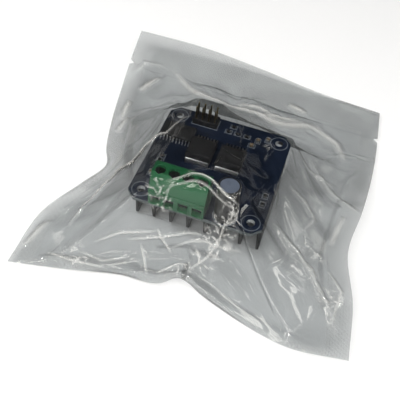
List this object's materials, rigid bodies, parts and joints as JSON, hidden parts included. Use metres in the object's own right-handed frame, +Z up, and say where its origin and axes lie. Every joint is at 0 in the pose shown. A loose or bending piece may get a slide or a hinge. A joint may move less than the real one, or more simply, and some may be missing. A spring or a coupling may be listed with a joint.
{
  "type": "motor driver module",
  "caption": "Square motor driver board on a finned heat sink, with screw terminals, pin header and capacitor, in a see-through shielding bag.",
  "frame": {"origin": "on the underside of the bag, straight below the middle of the board; the part rests on z = 0", "axes": "+Z up out of the component side, +Y from the screw terminals to the pin header, +X along the terminals"},
  "size_m": [0.1264, 0.1381, 0.0435],
  "materials": {
    "solder_mask": "dark navy solder mask, satin",
    "black_aluminium": "black anodised, matt",
    "bare_metal": "tinned, satin",
    "gold": "thin plating, satin",
    "moulding": "fine-grained moulding compound",
    "green_plastic": "semi-gloss moulding",
    "sleeve": "shrink sleeve with a pale stripe",
    "rubber": "matt",
    "pad": "matt grey thermal adhesive",
    "ceramic": "sintered, matt",
    "film": "metallised see-through film, glossy and creased"
  },
  "bodies": {
    "module": {"circuit_board": "solder_mask", "mount_ring_front_left": "solder_mask", "mount_ring_front_right": "solder_mask", "mount_ring_rear_right": "solder_mask", "mount_ring_rear_left": "solder_mask", "heat_sink": "black_aluminium", "thermal_pad": "pad", "power_chip_left": "moulding", "power_chip_right": "moulding", "buffer_chip": "moulding", "header_base": "moulding", "header_pin_1": "gold", "header_pin_2": "gold", "header_pin_3": "gold", "header_pin_4": "gold", "header_pin_5": "gold", "header_pin_6": "gold", "header_pin_7": "gold", "header_pin_8": "gold", "terminal_housing": "green_plastic", "contact_pin_1": "bare_metal", "contact_pin_2": "bare_metal", "contact_pin_3": "bare_metal", "contact_pin_4": "bare_metal", "capacitor_can": "bare_metal", "capacitor_sleeve": "sleeve", "capacitor_bung": "rubber", "capacitor_lead_1": "bare_metal", "capacitor_lead_2": "bare_metal", "resistor_1": "moulding", "resistor_2": "moulding", "resistor_3": "moulding", "resistor_4": "moulding", "resistor_5": "moulding", "resistor_6": "moulding", "resistor_7": "moulding", "resistor_8": "moulding", "ceramic_1": "ceramic", "ceramic_2": "ceramic", "ceramic_3": "ceramic", "ceramic_4": "ceramic"},
    "screw_1": {"terminal_screw_1": "bare_metal"},
    "clamp_1": {"wire_clamp_1": "bare_metal"},
    "screw_2": {"terminal_screw_2": "bare_metal"},
    "clamp_2": {"wire_clamp_2": "bare_metal"},
    "screw_3": {"terminal_screw_3": "bare_metal"},
    "clamp_3": {"wire_clamp_3": "bare_metal"},
    "screw_4": {"terminal_screw_4": "bare_metal"},
    "clamp_4": {"wire_clamp_4": "bare_metal"},
    "bag": {"bag_top_film": "film", "bag_bottom_film": "film"},
    "tear_strip": {"bag_tear_strip": "film"}
  },
  "joints": [
    {"name": "screw_turn_1", "type": "hinge", "parent": "module", "child": "screw_1", "pos_m": [-0.01327, -0.0206, 0.03395], "axis": [0, 0, -1], "range_deg": [0, 2160]},
    {"name": "clamp_lift_1", "type": "slide", "parent": "module", "child": "clamp_1", "axis": [0, 0, 1], "range_m": [0, 0.003]},
    {"name": "screw_turn_2", "type": "hinge", "parent": "module", "child": "screw_2", "pos_m": [-0.00819, -0.0206, 0.03395], "axis": [0, 0, -1], "range_deg": [0, 2160]},
    {"name": "clamp_lift_2", "type": "slide", "parent": "module", "child": "clamp_2", "axis": [0, 0, 1], "range_m": [0, 0.003]},
    {"name": "screw_turn_3", "type": "hinge", "parent": "module", "child": "screw_3", "pos_m": [-0.00311, -0.0206, 0.03395], "axis": [0, 0, -1], "range_deg": [0, 2160]},
    {"name": "clamp_lift_3", "type": "slide", "parent": "module", "child": "clamp_3", "axis": [0, 0, 1], "range_m": [0, 0.003]},
    {"name": "screw_turn_4", "type": "hinge", "parent": "module", "child": "screw_4", "pos_m": [0.00197, -0.0206, 0.03395], "axis": [0, 0, -1], "range_deg": [0, 2160]},
    {"name": "clamp_lift_4", "type": "slide", "parent": "module", "child": "clamp_4", "axis": [0, 0, 1], "range_m": [0, 0.003]},
    {"name": "bag_pull", "type": "slide", "parent": "module", "child": "bag", "axis": [0, -1, 0], "range_m": [0, 0.115], "deforming": ["bag_top_film", "bag_bottom_film"]},
    {"name": "strip_tear", "type": "slide", "parent": "module", "child": "tear_strip", "axis": [0, 1, 0], "range_m": [0, 0.04]}
  ],
  "couplings": [
    {"joint": "screw_turn_1", "follows": "clamp_lift_1", "rad_per_m": 12566},
    {"joint": "screw_turn_2", "follows": "clamp_lift_2", "rad_per_m": 12566},
    {"joint": "screw_turn_3", "follows": "clamp_lift_3", "rad_per_m": 12566},
    {"joint": "screw_turn_4", "follows": "clamp_lift_4", "rad_per_m": 12566}
  ]
}
